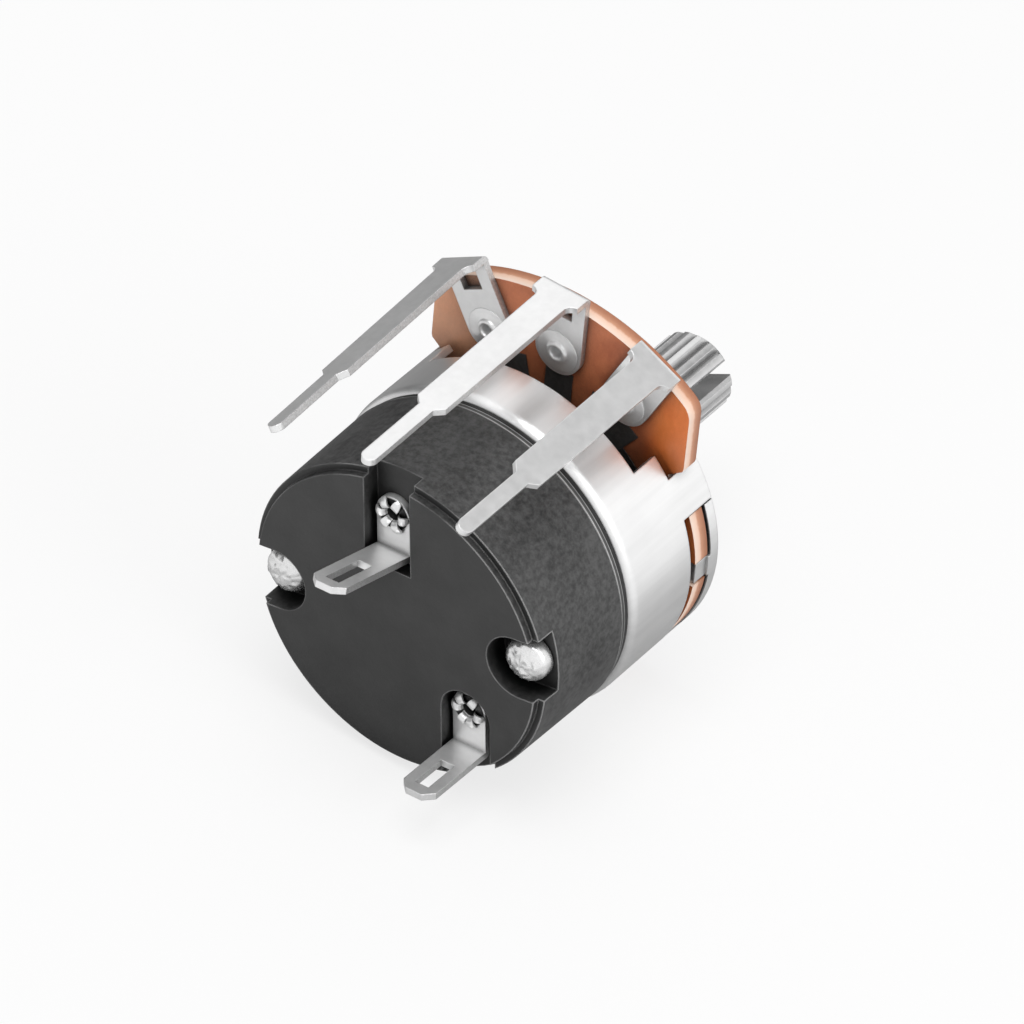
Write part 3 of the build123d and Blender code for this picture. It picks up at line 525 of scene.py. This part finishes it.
# Bushing: a thread with a rolled crest, a plain neck and the shoulder in the plate
bm = bmesh.new()
thread = [(THREAD_CREST, -THREAD_START - THREAD_LENGTH * n / THREAD_STEPS) for n in range(THREAD_STEPS + 1)]
sleeve = [(SLEEVE_BORE, SHOULDER_REAR), (SHOULDER_RADIUS, SHOULDER_REAR), (SHOULDER_RADIUS, 0.0), (3.3, 0.0)] + thread
sleeve += [(3.2, SLEEVE_END), (SLEEVE_BORE, SLEEVE_END)]


def threaded(radius, y, angle):
    """Shape for the lathe that cuts the thread."""
    if radius != THREAD_CREST:
        return radius, y
    phase = (y / THREAD_PITCH + angle / (2 * pi)) % 1.0
    flank = min(max(abs(phase - 0.5) * FLANK_SLOPE - CREST_SHARE, 0.0), 1.0)
    return THREAD_CREST - (THREAD_CREST - THREAD_ROOT) * flank, y


lathe(bm, sleeve, NO_CENTRE, 64, threaded)
piece("bushing_threaded", bm, "nickel_plate", "bushing")


# Studio: a pale table, a soft overhead lamp, four side lamps and a pale surround with three darker patches.
# The camera sees the table and the surround white; the plated metal mirrors their greys.
FLOOR_HALF = 3.0
FLOOR_DIFFUSE = 0.9
SHADOW_SHARE = 0.25
EVEN_LIGHT = 0.55
DARK_SIDE = (0.77, -0.63, 0.0)
DARK_SIDE_GREY = 0.04
NEAR_SHADOW_GREY = 0.22
NEAR_FROM, NEAR_TO = 0.06, 0.02
floor_level = cad_box[0][2]
floor_mesh = bpy.data.meshes.new("table")
corners = [(-FLOOR_HALF, -FLOOR_HALF), (FLOOR_HALF, -FLOOR_HALF), (FLOOR_HALF, FLOOR_HALF), (-FLOOR_HALF, FLOOR_HALF)]
floor_mesh.from_pydata([(x, y, floor_level) for x, y in corners], [], [(0, 1, 2, 3)])
floor = bpy.data.objects.new("table", floor_mesh)
bpy.context.scene.collection.objects.link(floor)
floor_material = bpy.data.materials.new("table")
s = Shader(floor_material)
path = s.node("ShaderNodeLightPath")
seen = s.math("MAXIMUM", s.math("MAXIMUM", path.outputs["Is Camera Ray"], path.outputs["Is Glossy Ray"]),
              path.outputs["Is Transmission Ray"])
spot = s.node("ShaderNodeNewGeometry").outputs["Position"]
away = s.node("ShaderNodeVectorMath", {0: spot}, operation="LENGTH").outputs["Value"]
heading = s.node("ShaderNodeVectorMath", {0: spot}, operation="NORMALIZE").outputs["Vector"]
dot = s.node("ShaderNodeVectorMath", {0: heading, 1: DARK_SIDE}, operation="DOT_PRODUCT").outputs["Value"]
# Painted shadow: in reflections the table turns grey near the object, where the object's shadow falls.
mirrored = s.mix(s.step(away, NEAR_FROM, NEAR_TO), grey(1.0), grey(NEAR_SHADOW_GREY))
mirrored = s.mix(s.step(dot, 0.55, 0.85), mirrored, grey(DARK_SIDE_GREY))
shown = s.mix(path.outputs["Is Camera Ray"], mirrored, grey(1.0))
diffuse = s.node("ShaderNodeBsdfDiffuse", {"Color": (*grey(FLOOR_DIFFUSE), 1)})
white = s.node("ShaderNodeEmission", {"Color": shown, "Strength": 1.0})
share = s.math("MULTIPLY", seen, 1 - SHADOW_SHARE)
blend = s.node("ShaderNodeMixShader", {0: share, 1: diffuse.outputs[0], 2: white.outputs[0]})
s.node("ShaderNodeOutputMaterial", {"Surface": blend.outputs[0]})
floor_mesh.materials.append(floor_material)

world = bpy.data.worlds.new("studio")
bpy.context.scene.world = world
s = Shader(world)
around = s.node("ShaderNodeTexCoord").outputs["Generated"]


def grey_wall(direction, wide, narrow):
    """Soft patch of the surround: one towards a direction, nought outside an angle in degrees."""
    dot = s.node("ShaderNodeVectorMath", {0: around, 1: Vector(direction).normalized()}, operation="DOT_PRODUCT")
    return s.step(dot.outputs["Value"], cos(radians(wide)), cos(radians(narrow)))


# Each patch of the surround: direction, outer and inner angle, grey
PATCHES = (
    ((0.80, -0.60, 0.04), 40, 24, 0.08),
    ((-0.33, -0.62, 0.71), 25, 9, 0.20),
    ((0.93, 0.25, 0.10), 38, 22, 0.08),
)
walls = grey(1.0)
for direction, wide, narrow, tone in PATCHES:
    walls = s.mix(grey_wall(direction, wide, narrow), walls, grey(tone))
path = s.node("ShaderNodeLightPath")
colour = s.mix(path.outputs["Is Camera Ray"], walls, grey(1.0))
plain = s.math("MAXIMUM", path.outputs["Is Glossy Ray"], path.outputs["Is Camera Ray"])
strength = s.between(plain, EVEN_LIGHT, 1.0)
backdrop = s.node("ShaderNodeBackground", {"Color": colour, "Strength": strength})
s.node("ShaderNodeOutputWorld", {"Surface": backdrop.outputs[0]})


def lamp(name, azimuth, elevation, distance, size, power):
    """Square soft lamp that looks at the middle of the object from an azimuth and an elevation."""
    data = bpy.data.lights.new(name, "AREA")
    data.shape = "SQUARE"
    data.size = size
    data.energy = power
    made = bpy.data.objects.new(name, data)
    basis = camera_basis(azimuth, elevation, 0)
    made.matrix_world = stand(basis, CAMERA_TARGET + basis[2] * distance)
    bpy.context.scene.collection.objects.link(made)


lamp("lamp_top", 200, 78, 0.9, 0.6, 4.0)
lamp("lamp_left", 130, 35, 1.0, 0.5, 0.15)
lamp("lamp_right", 265, 30, 1.0, 0.5, 2.2)
lamp("lamp_back", 45, 33, 1.0, 0.5, 0.25)
lamp("lamp_side", 315, 28, 1.0, 0.5, 0.1)
